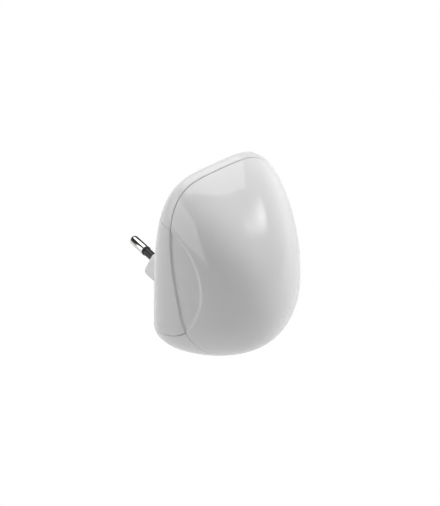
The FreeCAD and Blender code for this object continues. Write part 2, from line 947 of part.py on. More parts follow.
def transistors():
    """Two small round-backed transistors on three legs each."""
    things = []
    for i, x in enumerate((-10.5, 10.5)):
        at = (x, FACE - 2.2, 42.5)
        case = cylinder(
            "transistor_case_%d" % i,
            "Sizes.transistor_radius",
            "Sizes.transistor_stand",
            at,
            -Y_AXIS,
        )
        flat = box("transistor_flat_%d" % i, "6", "6", "2", (x - 3, FACE - 7.5, 42.5 + 1.4))
        trimmed = cut("transistor_trim_%d" % i, case, flat)
        legs = [
            cylinder(
                "transistor_leg_%d%d" % (i, k),
                "Sizes.lead_radius",
                "2.3",
                (x + 1.27 * k, FACE - 0.02, 42.2),
                -Y_AXIS,
            )
            for k in (-1, 0, 1)
        ]
        things.append(fuse("transistor_%d" % i, [trimmed] + legs))
    return group("transistor_set", things)


COIL_AT = (0.0, 9.0)


def coil_core():
    """Ferrite bobbin of the step-up coil, turned with two rims."""
    rim = "Sizes.core_flange"
    waist = "Sizes.core_waist"
    thick = "Sizes.rim_thick"
    stand = "Sizes.core_stand"
    outline = [
        ("0", "0"),
        (rim, "0"),
        (rim, thick),
        (waist, thick),
        (waist, stand + " - " + thick),
        (rim, stand + " - " + thick),
        (rim, stand),
        ("0", stand),
    ]
    return turned_body("coil_bobbin", outline, on_board(*COIL_AT), -Y_AXIS)


def coil_winding():
    """Copper winding between the bobbin's rims."""
    play = "Sizes.play"
    low = "Sizes.rim_thick + " + play
    high = "Sizes.core_stand - Sizes.rim_thick - " + play
    inner = "Sizes.core_waist + " + play
    outer = "Sizes.winding_radius"
    outline = [(inner, low), (outer, low), (outer, high), (inner, high)]
    return turned_body("winding", outline, on_board(*COIL_AT), -Y_AXIS)


# ---------------------------------------------------------------- tweeter


def place_on_tweeter(thing):
    """Give an object built on the tweeter's axis its place."""
    thing.Placement = FRAME_TWEETER
    return thing


def dust_screen():
    """Thin disc of mesh lying on the floor of the sound pocket."""
    floor = "Sizes.sound_floor + 0.01"
    top = "Sizes.sound_floor + Sizes.screen_thick"
    radius = "Sizes.sound_radius - 0.1"
    outline = [("0", floor), (radius, floor), (radius, top), ("0", top)]
    return place_on_tweeter(turned_body("screen", outline))


def tweeter_gasket():
    """Foam ring between the seat and the tweeter's flange."""
    low = "Sizes.seat_top + 0.01"
    high = "Sizes.seat_top + Sizes.gasket_thick"
    inner = "Sizes.sound_radius + 0.1"
    outer = "Sizes.flange_radius"
    outline = [(inner, low), (outer, low), (outer, high), (inner, high)]
    return place_on_tweeter(turned_body("gasket", outline))


def tweeter_housing():
    """Moulded cup with a flange, open towards the sound holes."""
    low = "Sizes.seat_top + Sizes.gasket_thick + 0.01"
    flange = low + " + Sizes.flange_thick"
    outline = [
        ("Sizes.sound_radius", low),
        ("Sizes.flange_radius", low),
        ("Sizes.flange_radius", flange),
        ("Sizes.cup_radius + 1.5", flange + " + 1"),
        ("Sizes.cup_radius", flange + " + 2"),
        ("Sizes.cup_radius", "Sizes.cup_top"),
        ("0", "Sizes.cup_top"),
        ("0", "Sizes.cup_top - Sizes.cup_wall"),
        ("Sizes.cup_radius - Sizes.cup_wall", "Sizes.cup_top - Sizes.cup_wall"),
        ("Sizes.cup_radius - Sizes.cup_wall", flange + " + 1"),
    ]
    return place_on_tweeter(turned_body("cup", outline))


def tweeter_cone():
    """Thin cone that the piezo disc drives."""
    outline = [
        ("0", "8.8"),
        ("2.5", "8.8"),
        ("5.9", "7.9"),
        ("5.9", "7.6"),
        ("2.4", "8.5"),
        ("0", "8.5"),
    ]
    return place_on_tweeter(turned_body("cone", outline))


def piezo_disc():
    """Piezo element lying on the cone's flat middle."""
    outline = [("0", "8.82"), ("2.4", "8.82"), ("2.4", "9.4"), ("0", "9.4")]
    return place_on_tweeter(turned_body("piezo", outline))


def tweeter_wires():
    """Two insulated wires from the board's back to the top of the tweeter."""
    things = []
    top = FRAME_TWEETER.multVec(Vector(0, 0, size("cup_top") + 0.02))
    inward = FRAME_TWEETER.Rotation.multVec(Z_AXIS)
    for x in (-2.5, 2.5):
        start = Vector(x, -size("board_depth") + 0.02, 3.0)
        end = Vector(x, top.y, top.z)
        path = Part.BSplineCurve()
        near = start + Y_AXIS * 3
        above = end + inward * 4
        path.buildFromPoles([start, near, above, end])
        spine = Part.Wire([path.toShape()])
        ring = Part.makeCircle(0.55, start, Y_AXIS)
        things.append(spine.makePipeShell([Part.Wire([ring])], True, False))
    return free_form("tweeter_wire_pair", Part.makeCompound(things))


# ---------------------------------------------------------------- assembly


def build():
    """Make every sub-part and give it its name."""
    half = size("pin_spacing") / 2
    node(front_cover(), "front_cover")
    node(rear_shell(), "rear_shell")
    node(plug_module(), "plug_module")
    for side, x in (("left", -half), ("right", half)):
        node(pin(side, x), "contact_pin_" + side)
        node(sleeve(side, x), "pin_sleeve_" + side)
        node(tab(side, x), "contact_tab_" + side)
    for make in (
        rating_plate,
        circuit_board,
        housing_screws,
        board_screws,
        module_screws,
        film_capacitor,
        electrolytic_capacitor,
        varistor,
        fusible_resistor,
        bridge_rectifier,
        driver_chip,
        transistors,
        resistors,
        coil_core,
        coil_winding,
        dust_screen,
        tweeter_gasket,
        tweeter_housing,
        tweeter_cone,
        piezo_disc,
        tweeter_wires,
    ):
        node(make(), make.__name__)
    DOC.recompute()


def check():
    """Stop if any object failed, or any sub-part has no sound shape."""
    for thing in DOC.Objects:
        if "Invalid" in thing.State or "Error" in thing.State:
            raise RuntimeError("%s did not compute: %s" % (thing.Name, thing.State))
    for thing in NODES:
        if thing.Shape.isNull() or not thing.Shape.isValid():
            raise RuntimeError("%s has no sound shape" % thing.Label)


def write():
    """Write each sub-part to its own STEP file."""
    os.makedirs("parts", exist_ok=True)
    for thing in NODES:
        thing.Shape.exportStep("parts/%s.step" % thing.Label)


build()
check()
write()
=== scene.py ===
"""Looks of a glossy white plug-in pest repeller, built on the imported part's frame."""

import json
import math

import bmesh
import bpy
import numpy as np
from mathutils import Matrix, Vector


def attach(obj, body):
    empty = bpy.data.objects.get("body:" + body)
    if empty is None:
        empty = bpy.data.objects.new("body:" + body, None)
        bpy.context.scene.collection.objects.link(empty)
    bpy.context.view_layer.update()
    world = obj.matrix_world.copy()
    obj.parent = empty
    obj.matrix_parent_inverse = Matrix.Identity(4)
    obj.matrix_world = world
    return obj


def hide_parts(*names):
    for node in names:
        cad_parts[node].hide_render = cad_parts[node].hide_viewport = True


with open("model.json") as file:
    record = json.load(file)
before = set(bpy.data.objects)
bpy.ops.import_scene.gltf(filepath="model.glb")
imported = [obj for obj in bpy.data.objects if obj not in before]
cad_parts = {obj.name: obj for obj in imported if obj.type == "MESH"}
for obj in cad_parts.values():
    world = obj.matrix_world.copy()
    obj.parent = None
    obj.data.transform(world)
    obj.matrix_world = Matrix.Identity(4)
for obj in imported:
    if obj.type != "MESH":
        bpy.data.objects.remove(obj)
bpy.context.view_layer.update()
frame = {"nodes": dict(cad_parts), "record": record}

MM = 0.001

# Sizes in millimetres. Depth is measured forwards from the flat back, insets inwards from the
# skin, and offsets forwards from the parting plane between the cover and the rear parts.
BOSS_LENGTH = 18.0
NOSE_DEPTH = 50.4
NOSE_HEIGHT = 16.0
BLEND = 4.0
BACK_ROUND = 4.0
SHOULDER_POWER = 4.06
WIDE_LEVEL_BACK = -0.54
WIDE_LEVEL_NOSE = 0.11

# Parting plane and the edges on both sides of it.
SEAM_DEPTH = 24.65
SEAM_SLOPE = math.tan(math.radians(11.6))
SEAM_GAP = 0.35
SEAM_GROOVE = 0.9
COVER_ROLL = 0.3
SHELL_ROLL = 0.25

# Walls, and the cover's lip that reaches into the rear shell.
WALL = 2.0
WALL_PLAY = 0.02
SUNK = 2.1
SUNK_INNER = 3.7
LIP_INSET = 2.15
LIP_INNER = 3.25
LIP_LENGTH = 2.5
LIP_ROOT = 1.5
LIP_ROOM = 0.8
INNER_SKIN_START = 2.0

# Ovals on the sides: the cover's recesses, and the saddle's outline behind the parting plane.
OVAL_DEPTH = 9.5
OVAL_HEIGHT = 20.4
OVAL_MAJOR = 28.4
OVAL_MINOR = 22.6
OVAL_LEAN = math.radians(11.9)
OVAL_GAP = 0.12
RECESS = 0.8
FILLET = 2.2
RIM_SOFT = 0.12

# Pins, screw posts and the blank plate on the back.
PIN_ACROSS = 9.3
PIN_HOLE = 1.72
PIN_HOLE_START = -30
PIN_HOLE_END = 3
SCREW_ACROSS = 15.0
SCREW_UP = 54.0
WELL_RADIUS = 3.0
WELL_DEPTH = 6
POST_RADIUS = 4.2
POST_START = 1
POST_END = 12
POST_INSET = 1.0
PLATE_WIDTH = 26.0
PLATE_HEIGHT = 16.0
PLATE_BOTTOM = 14.0
PLATE_RECESS = 0.3
PLATE_CLEARANCE = 0.15
TOOL_OVERSHOOT = 5

# Top, bottom and side edges of the skin: how far out the edge peaks, at what depth, how far out
# it is at the back, and the powers of its curve in front of the peak and behind it.
CROWN = {"peak": 51.1, "depth": 6.3, "back": 22.0, "power": 1.3, "tail": 2.1}
KEEL = {"peak": 45.1, "depth": 4.0, "back": 47.0, "power": 1.4, "tail": 1.95}
SIDES = {"peak": 30.4, "depth": 9.85, "back": 24.8, "power": 1.7, "tail": 1.5}

FORWARDS = (0, -1, 0)
BACKWARDS = (0, 1, 0)


# ---------------------------------------------------------------- skin of the housing


def ramp(v):
    """0 well below zero and v well above it, with a smooth bend."""
    return (v + np.hypot(v, BLEND)) / 2


def reach(depth, edge):
    """How far one edge of the skin stands out at this depth."""
    front = ramp(depth - edge["depth"]) - ramp(-edge["depth"])
    front = front / (ramp(NOSE_DEPTH - edge["depth"]) - ramp(-edge["depth"]))
    rear = ramp(edge["depth"] - depth) - ramp(edge["depth"] - NOSE_DEPTH)
    rear = rear / (ramp(edge["depth"]) - ramp(edge["depth"] - NOSE_DEPTH))
    front = np.clip(front, 0, 1)
    rear = np.clip(rear, 0, 1)
    short = np.clip(BACK_ROUND - depth, 0, BACK_ROUND)
    rounding = BACK_ROUND - np.sqrt(BACK_ROUND**2 - short**2)
    arch = edge["peak"] * np.sqrt(1 - front ** edge["power"])
    return arch - (edge["peak"] - edge["back"]) * rear ** edge["tail"] - rounding


ELLIPSE_POWER = 2
# Floors under two divisors, which are zero at the nose and in the middle of the oval.
LEAST_REACH = 1e-9
LEAST_SLOPE = 1e-6


def skin(depth, angle, inset=0.0):
    """Points of the housing's skin, `inset` below it. `angle` turns from straight up to +X."""
    own = (depth - inset) * NOSE_DEPTH / (NOSE_DEPTH - 2 * inset)
    own = np.clip(own, 0, NOSE_DEPTH)
    top = reach(own, CROWN) * (1 - inset / CROWN["peak"])
    low = reach(own, KEEL) * (1 - inset / KEEL["peak"])
    half = reach(own, SIDES) * (1 - inset / SIDES["peak"])
    part = own / NOSE_DEPTH
    bias = WIDE_LEVEL_BACK * (1 - part) + WIDE_LEVEL_NOSE * part
    centre = NOSE_HEIGHT + (top - low) / 2 + bias * (top + low) / 2
    above = np.maximum(NOSE_HEIGHT + top - centre, LEAST_REACH)
    below = np.maximum(centre - NOSE_HEIGHT + low, LEAST_REACH)
    half = np.maximum(half, LEAST_REACH)
    power = ELLIPSE_POWER + (SHOULDER_POWER - ELLIPSE_POWER) * (1 - part**2)
    upper = np.cos(angle) >= 0
    power = np.where(upper, power, ELLIPSE_POWER)
    tall = np.where(upper, above, below)
    across = np.abs(np.sin(angle)) / half
    along = np.abs(np.cos(angle)) / tall
    largest = np.maximum(across, along)
    radius = ((across / largest) ** power + (along / largest) ** power) ** (-1 / power) / largest
    x = radius * np.sin(angle)
    z = centre + radius * np.cos(angle)
    return np.stack([x, -BOSS_LENGTH - depth + 0 * x, z], axis=-1)


HALVINGS = 50


def at_seam(angle, inset, offset):
    """Depth on the skin `offset` in front of the parting plane, for each angle."""
    low = np.full_like(angle, inset)
    high = np.full_like(angle, NOSE_DEPTH - inset)
    for _ in range(HALVINGS):
        middle = (low + high) / 2
        height = skin(middle, angle, inset)[..., 2]
        ahead = middle > SEAM_DEPTH - height * SEAM_SLOPE + offset
        high = np.where(ahead, middle, high)
        low = np.where(ahead, low, middle)
    return (low + high) / 2


def oval_distance(points):
    """Millimetres inside the side oval, negative outside, for points of the skin."""
    depth = -points[..., 1] - BOSS_LENGTH - OVAL_DEPTH
    height = points[..., 2] - OVAL_HEIGHT
    along = depth * math.sin(OVAL_LEAN) + height * math.cos(OVAL_LEAN)
    across = depth * math.cos(OVAL_LEAN) - height * math.sin(OVAL_LEAN)
    value = np.hypot(along / OVAL_MAJOR, across / OVAL_MINOR)
    slope = np.hypot(along / OVAL_MAJOR**2, across / OVAL_MINOR**2)
    slope = slope / np.maximum(value, LEAST_SLOPE)
    return (1 - value) / np.maximum(slope, LEAST_SLOPE)


# ---------------------------------------------------------------- meshes


SHARP_ANGLE = math.radians(35)
ROD_POINTS = 96
LATHE_POINTS = 128


def add_mesh(name, points, faces):
    """Mesh object from points in millimetres, its faces turned outwards."""
    mesh = bpy.data.meshes.new(name)
    mesh.from_pydata((np.asarray(points, float) * MM).tolist(), [], faces)
    mesh.validate()
    mesh.update()
    if volume(mesh) < 0:
        mesh.flip_normals()
    thing = bpy.data.objects.new(name, mesh)
    bpy.context.scene.collection.objects.link(thing)
    shade(thing)
    return thing


def volume(mesh):
    """Volume of a closed mesh, negative where its faces point inwards."""
    work = bmesh.new()
    work.from_mesh(mesh)
    result = work.calc_volume(signed=True)
    work.free()
    return result


def shade(thing):
    """Smooth shading with sharp edges where faces meet steeply."""
    thing.data.polygons.foreach_set("use_smooth", [True] * len(thing.data.polygons))
    thing.data.set_sharp_from_angle(angle=SHARP_ANGLE)


def tube_faces(rows, around):
    """Quads between closed rings of `around` points."""
    faces = []
    for i in range(rows - 1):
        for j in range(around):
            k = (j + 1) % around
            a = i * around
            faces.append((a + j, a + k, a + around + k, a + around + j))
    return faces


def closed_stack(rings, first, last):
    """Points and faces of a stack of rings closed by a fan at each end point."""
    rings = np.asarray(rings)
    rows, around = rings.shape[:2]
    points = np.vstack([rings.reshape(-1, 3), [first], [last]])
    faces = tube_faces(rows, around)
    start = rows * around
    bottom = (rows - 1) * around
    for j in range(around):
        k = (j + 1) % around
        faces.append((k, j, start))
        faces.append((bottom + j, bottom + k, start + 1))
    return points, faces


def combine(target, tool, operation):
    """Boolean of two meshes; the tool is used up."""
    change = target.modifiers.new("cut", "BOOLEAN")
    change.operation = operation
    change.object = tool
    change.solver = "EXACT"
    graph = bpy.context.evaluated_depsgraph_get()
    result = bpy.data.meshes.new_from_object(target.evaluated_get(graph), depsgraph=graph)
    target.modifiers.clear()
    target.data = result
    bpy.data.objects.remove(tool)
    shade(target)


def rod(radius, start, end, origin, axis):
    """Closed cylinder tool along `axis` from `start` to `end`, in millimetres."""
    turn = np.linspace(0, 2 * math.pi, ROD_POINTS, endpoint=False)
    circle = np.stack([np.cos(turn), np.sin(turn), 0 * turn], axis=-1) * radius
    rings = [circle + [0, 0, start], circle + [0, 0, end]]
    points, faces = closed_stack(rings, (0, 0, start), (0, 0, end))
    thing = add_mesh("tool", points, faces)
    place(thing, origin, axis)
    return thing


def place(thing, origin, axis):
    """Turn a mesh's +Z to `axis` and move it to `origin`, in millimetres."""
    turn = Vector((0, 0, 1)).rotation_difference(Vector(axis)).to_matrix().to_4x4()
    thing.data.transform(Matrix.Translation(Vector(origin) * MM) @ turn)


def lathe(name, outline, origin, axis):
    """Solid of revolution from (radius, height) pairs that start and end on the axis."""
    turn = np.linspace(0, 2 * math.pi, LATHE_POINTS, endpoint=False)
    rings = []
    for radius, height in outline[1:-1]:
        ring = np.stack([radius * np.cos(turn), radius * np.sin(turn), height + 0 * turn], -1)
        rings.append(ring)
    ends = [(0, 0, outline[0][1]), (0, 0, outline[-1][1])]
    points, faces = closed_stack(rings, *ends)
    thing = add_mesh(name, points, faces)
    place(thing, origin, axis)
    return thing


def arc(centre_r, centre_h, radius, start, end, steps):
    """Points of an arc in a lathe outline, angles in degrees from the radial direction."""
    turns = np.radians(np.linspace(start, end, steps))
    return [(centre_r + radius * math.cos(t), centre_h + radius * math.sin(t)) for t in turns]


# ---------------------------------------------------------------- housing

# How finely the skin is divided: points around, and rings along each stretch.
ANGLES = np.linspace(0, 2 * math.pi, 480, endpoint=False)
COVER_ROWS = 172
COVER_INNER_ROWS = 14
SHELL_ROWS = 120
SHELL_INNER_ROWS = 40
BACK_ROWS = 24
BACK_INNER_ROWS = 10
ROLL_STEPS = 6
ROW_BUNCHING = 0.75
BACK_BUNCHING = 1.5
CORE_ROWS = 60

CORE_DEPTH = 32
# The side recesses sink towards this point, and mostly sideways.
SINK_CENTRE = np.array([0, -BOSS_LENGTH - 20, 18.0])
SINK_SIDEWAYS = 3


def seam_rings(pairs):
    """Rings near the parting plane from (offset in front of it, inset) pairs."""
    return [skin(at_seam(ANGLES, inset, offset), ANGLES, inset) for offset, inset in pairs]


def edge_roll(offset, direction, radius):
    """(offset, inset) pairs that round the skin's edge over into the parting plane."""
    turns = np.linspace(0, math.pi / 2, ROLL_STEPS)
    return [
        (offset - direction * radius * (1 - math.sin(t)), radius * (1 - math.cos(t)))
        for t in turns
    ]


def fair_rows(count):
    """Fractions 0..1 of the depth, even along the skin and finer towards the parting plane."""
    return 1 - np.cos(np.linspace(0, 1, count) ** ROW_BUNCHING * math.pi / 2)


def front_rings(end, inset, count):
    """Rings from the nose to depth `end` (one value per angle)."""
    rows = []
    for share in fair_rows(count)[1:]:
        depth = NOSE_DEPTH - inset - share * (NOSE_DEPTH - inset - end)
        rows.append(skin(depth, ANGLES, inset))
    return rows


def sink(points):
    """Push the skin in inside the side oval: crisp at the rim, then a wide hollow fillet."""
    distance = oval_distance(points)
    inside = (distance + np.hypot(distance, RIM_SOFT)) / 2
    depth = RECESS * (1 - (1 - np.clip(inside / FILLET, 0, 1)) ** 2)
    inward = SINK_CENTRE - points
    inward[..., 0] *= SINK_SIDEWAYS
    inward /= np.linalg.norm(inward, axis=-1, keepdims=True)
    return points + inward * depth[..., None]


def front_cover():
    """Domed cover: outer skin with its side recesses, rolled edge, lip and inner skin."""
    outer = front_rings(at_seam(ANGLES, 0.0, COVER_ROLL), 0.0, COVER_ROWS)
    edge = seam_rings(edge_roll(0.0, -1, COVER_ROLL)[1:])
    lip = [
        (0.0, LIP_INSET),
        (-LIP_LENGTH, LIP_INSET),
        (-LIP_LENGTH, LIP_INNER),
        (LIP_ROOT, LIP_INNER),
        (LIP_ROOT, WALL),
    ]
    inner = front_rings(at_seam(ANGLES, WALL, INNER_SKIN_START), WALL, COVER_INNER_ROWS)[::-1]
    rings = [sink(np.array(r)) for r in outer + edge] + seam_rings(lip) + inner
    ends = [
        (0, -BOSS_LENGTH - NOSE_DEPTH, NOSE_HEIGHT),
        (0, -BOSS_LENGTH - NOSE_DEPTH + WALL, NOSE_HEIGHT),
    ]
    points, faces = closed_stack(rings, *ends)
    thing = add_mesh("front_cover_shell", points, faces)
    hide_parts("front_cover")
    return thing


def back_rings(inset, count):
    """Rings of the flat back from its middle out to the skin."""
    rim = skin(np.full_like(ANGLES, inset), ANGLES, inset)
    centre = np.array([0, -BOSS_LENGTH - inset, NOSE_HEIGHT])
    return [centre + (rim - centre) * share for share in np.linspace(0, 1, count)[1:]]


def rear_wall(name, inner):
    """Closed wall behind the parting plane, from the skin to `inner` below it."""
    start = -SEAM_GAP
    end = at_seam(ANGLES, 0.0, start - SHELL_ROLL)
    outer = []
    for share in np.linspace(0, 1, SHELL_ROWS)[1:]:
        outer.append(skin(end * share**BACK_BUNCHING, ANGLES))
    edge = seam_rings(edge_roll(start, 1, SHELL_ROLL)[1:])
    under_cover = WALL - WALL_PLAY
    groove = [(start, SEAM_GROOVE), (-WALL_PLAY, SEAM_GROOVE), (-WALL_PLAY, under_cover)]
    if inner > WALL:
        back = -LIP_LENGTH - LIP_ROOM
        groove += [(back, under_cover), (back, inner)]
    inner_end = at_seam(ANGLES, inner, groove[-1][0])
    inside = []
    for share in np.linspace(1, 0, SHELL_INNER_ROWS)[1:]:
        inside.append(skin(inner + (inner_end - inner) * share**BACK_BUNCHING, ANGLES, inner))
    rings = back_rings(0.0, BACK_ROWS) + outer + edge + seam_rings(groove) + inside
    rings += back_rings(inner, BACK_INNER_ROWS)[::-1][1:]
    ends = [(0, -BOSS_LENGTH, NOSE_HEIGHT), (0, -BOSS_LENGTH - inner, NOSE_HEIGHT)]
    points, faces = closed_stack(rings, *ends)
    return add_mesh(name, points, faces)


PRISM_REACH = 60
OVAL_POINTS = 256


def oval_prism(grow):
    """Tool in the shape of the side oval, through the housing from side to side."""
    turn = np.linspace(0, 2 * math.pi, OVAL_POINTS, endpoint=False)
    along = (OVAL_MAJOR + grow) * np.cos(turn)
    across = (OVAL_MINOR + grow) * np.sin(turn)
    depth = OVAL_DEPTH + along * math.sin(OVAL_LEAN) + across * math.cos(OVAL_LEAN)
    height = OVAL_HEIGHT + along * math.cos(OVAL_LEAN) - across * math.sin(OVAL_LEAN)
    rings = []
    for x in (-PRISM_REACH, PRISM_REACH):
        rings.append(np.stack([x + 0 * depth, -BOSS_LENGTH - depth, height], -1))
    middle = [-BOSS_LENGTH - OVAL_DEPTH, OVAL_HEIGHT]
    points, faces = closed_stack(rings, (-PRISM_REACH, *middle), (PRISM_REACH, *middle))
    return add_mesh("tool", points, faces)


def core_solid(inset):
    """Closed solid bounded by the skin `inset` below the outside, behind the nose."""
    outer = []
    for share in np.linspace(0, 1, CORE_ROWS)[1:]:
        outer.append(skin(inset + share * CORE_DEPTH, ANGLES, inset))
    rings = back_rings(inset, BACK_INNER_ROWS) + outer
    back = -BOSS_LENGTH - inset
    ends = [(0, back, NOSE_HEIGHT), (0, back - CORE_DEPTH, NOSE_HEIGHT)]
    points, faces = closed_stack(rings, *ends)
    return add_mesh("tool", points, faces)


TWEETER_AT = np.array([0, -BOSS_LENGTH - 17.0, -25.2])
TILT = math.radians(25.7)
TWEETER_AXIS = (0, math.sin(TILT), math.cos(TILT))
POCKET_RADIUS = 9.0
POCKET_FLOOR = 2.8
POCKET_TOP = 12
SLOT_PITCH = 3.0
SLOT_WIDTH = 1.5
SLOT_REACH = 7.5
SLOTS_EACH_SIDE = 2
SLOT_TOOL_REACH = 6
SLOT_END_POINTS = 17


def slot_tool(across):
    """Round-ended slot through the skin below the tweeter, `across` from its middle."""
    half = math.sqrt(SLOT_REACH**2 - across**2)
    turn = np.linspace(-math.pi / 2, math.pi / 2, SLOT_END_POINTS)
    end = SLOT_WIDTH / 2
    right = np.stack([half + end * np.cos(turn), end * np.sin(turn)], -1)
    outline = np.vstack([right, -right])
    rings = []
    for height in (-SLOT_TOOL_REACH, SLOT_TOOL_REACH):
        ring = np.column_stack([outline, np.full(len(outline), float(height))])
        rings.append(ring + [0, across, 0])
    ends = [(0, across, -SLOT_TOOL_REACH), (0, across, SLOT_TOOL_REACH)]
    points, faces = closed_stack(rings, *ends)
    thing = add_mesh("tool", points, faces)
    place(thing, TWEETER_AT, TWEETER_AXIS)
    return thing


def rear_shell():
    """Rim behind the parting plane and sunk wall, with screw wells and sound slots."""
    shell = rear_wall("rear_shell_rim", SUNK_INNER)
    carve = oval_prism(OVAL_GAP)
    combine(carve, core_solid(SUNK), "DIFFERENCE")
    combine(shell, carve, "DIFFERENCE")
    for side in (-1, 1):
        at = (side * SCREW_ACROSS, -BOSS_LENGTH, SCREW_UP)
        post = rod(POST_RADIUS, POST_START, POST_END, at, FORWARDS)
        combine(post, core_solid(POST_INSET), "INTERSECT")
        combine(shell, post, "UNION")
        well = rod(WELL_RADIUS, -TOOL_OVERSHOOT, WELL_DEPTH, at, FORWARDS)
        combine(shell, well, "DIFFERENCE")
    pocket = rod(POCKET_RADIUS, POCKET_FLOOR, POCKET_TOP, TWEETER_AT, TWEETER_AXIS)
    combine(shell, pocket, "DIFFERENCE")
    for i in range(-SLOTS_EACH_SIDE, SLOTS_EACH_SIDE + 1):
        combine(shell, slot_tool(i * SLOT_PITCH), "DIFFERENCE")
    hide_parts("rear_shell")
    return shell


BOSS_HEIGHT = 13.7
BOSS_FLAT = 26.1
BOSS_WIDTH = 35.3
BOSS_CORNER = 3.0
BOSS_EDGE = 1.2
BOSS_SUNK = 1.5
CORNER_POINTS = 13
EDGE_POINTS = 9


def plug_boss():
    """Six-sided plug body with rounded corners and a rounded end edge."""
    tall, flat, wide = BOSS_HEIGHT / 2, BOSS_FLAT / 2, BOSS_WIDTH / 2
    corners = np.array(
        [(flat, tall), (-flat, tall), (-wide, 0), (-flat, -tall), (flat, -tall), (wide, 0)]
    )
    outline = []
    for i, here in enumerate(corners):
        before = corners[i - 1] - here
        after = corners[(i + 1) % len(corners)] - here
        before /= np.linalg.norm(before)
        after /= np.linalg.norm(after)
        half = math.acos(float(before @ after)) / 2
        middle = (before + after) / np.linalg.norm(before + after)
        centre = here + middle * BOSS_CORNER / math.sin(half)
        first = here + before * BOSS_CORNER / math.tan(half) - centre
        last = here + after * BOSS_CORNER / math.tan(half) - centre
        start = math.atan2(first[1], first[0])
        end = math.atan2(last[1], last[0])
        sweep = (end - start + math.pi) % (2 * math.pi) - math.pi
        for share in np.linspace(0, 1, CORNER_POINTS):
            turn = start + sweep * share
            outline.append((centre, (math.cos(turn), math.sin(turn))))
    root = -BOSS_LENGTH - BOSS_SUNK
    rows = [(root, 0.0)]
    for t in np.linspace(0, math.pi / 2, EDGE_POINTS):
        rows.append((-BOSS_EDGE + BOSS_EDGE * math.sin(t), BOSS_EDGE * (1 - math.cos(t))))
    rings = []
    for y, inward in rows:
        out = BOSS_CORNER - inward
        rings.append([(c[0] + out * n[0], y, c[1] + out * n[1]) for c, n in outline])
    points, faces = closed_stack(rings, (0, root, 0), (0, 0, 0))
    return add_mesh("tool", points, faces)


def plate_recess():
    """Box-shaped tool for the shallow recess that the blank plate lies in."""
    half = PLATE_WIDTH / 2 + PLATE_CLEARANCE
    low = PLATE_BOTTOM - PLATE_CLEARANCE
    high = PLATE_BOTTOM + PLATE_HEIGHT + PLATE_CLEARANCE
    rings = []
    ends = []
    for y in (-BOSS_LENGTH - PLATE_RECESS, -BOSS_LENGTH + TOOL_OVERSHOOT):
        rings.append([(-half, y, low), (-half, y, high), (half, y, high), (half, y, low)])
        ends.append((0, y, (low + high) / 2))
    points, faces = closed_stack(rings, *ends)
    return add_mesh("tool", points, faces)


def plug_module():
    """Saddle over the sides and back, with the plug body and the plate's recess."""
    module = rear_wall("plug_module_saddle", WALL)
    combine(module, oval_prism(-OVAL_GAP), "INTERSECT")
    combine(module, plug_boss(), "UNION")
    for side in (-1, 1):
        at = (side * PIN_ACROSS, 0, 0)
        hole = rod(PIN_HOLE, PIN_HOLE_START, PIN_HOLE_END, at, BACKWARDS)
        combine(module, hole, "DIFFERENCE")
    combine(module, plate_recess(), "DIFFERENCE")
    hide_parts("plug_module")
    return module


def contact_pin(side, word):
    """Bare round-ended pin tip on its thin core."""
    core, tip, foot_round = 1.3, 2.0, 0.25
    inside, start, end = -16, 9.7, 19.0
    outline = [(0, inside), (core, inside), (core, start)]
    outline += arc(tip - foot_round, start + foot_round, foot_round, -90, 0, 5)
    # The dome stops just short of the axis, where the lathe's end point closes it.
    outline += arc(0, end - tip, tip, 0, 88, 24)
    outline += [(0, end)]
    thing = lathe("pin_tip_" + word, outline, (side * PIN_ACROSS, 0, 0), BACKWARDS)
    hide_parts("contact_pin_" + word)
    return thing


def pin_sleeve(side, word):
    """Insulating sleeve that flares to a collar with soft edges under the bare tip."""
    sleeve, collar, soft = 1.7, 2.0, 0.1
    start, end = -3.0, 9.68
    low = end - 1.0
    outline = [(0, start), (sleeve, start), (sleeve, low - 0.3)]
    outline += [(sleeve + 0.06, low - 0.12), (collar - 0.08, low), (collar, low + soft)]
    outline += [(collar, end - soft), (collar - soft, end), (0, end)]
    thing = lathe("sleeve_" + word, outline, (side * PIN_ACROSS, 0, 0), BACKWARDS)
    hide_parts("pin_sleeve_" + word)
    return thing


# ---------------------------------------------------------------- materials


def link(tree, source, target):
    """Wire one node's output to another's input."""
    tree.links.new(source, target)


ROUGHNESS_SPREAD = 0.15
RELIEF_HEIGHT = 0.0002


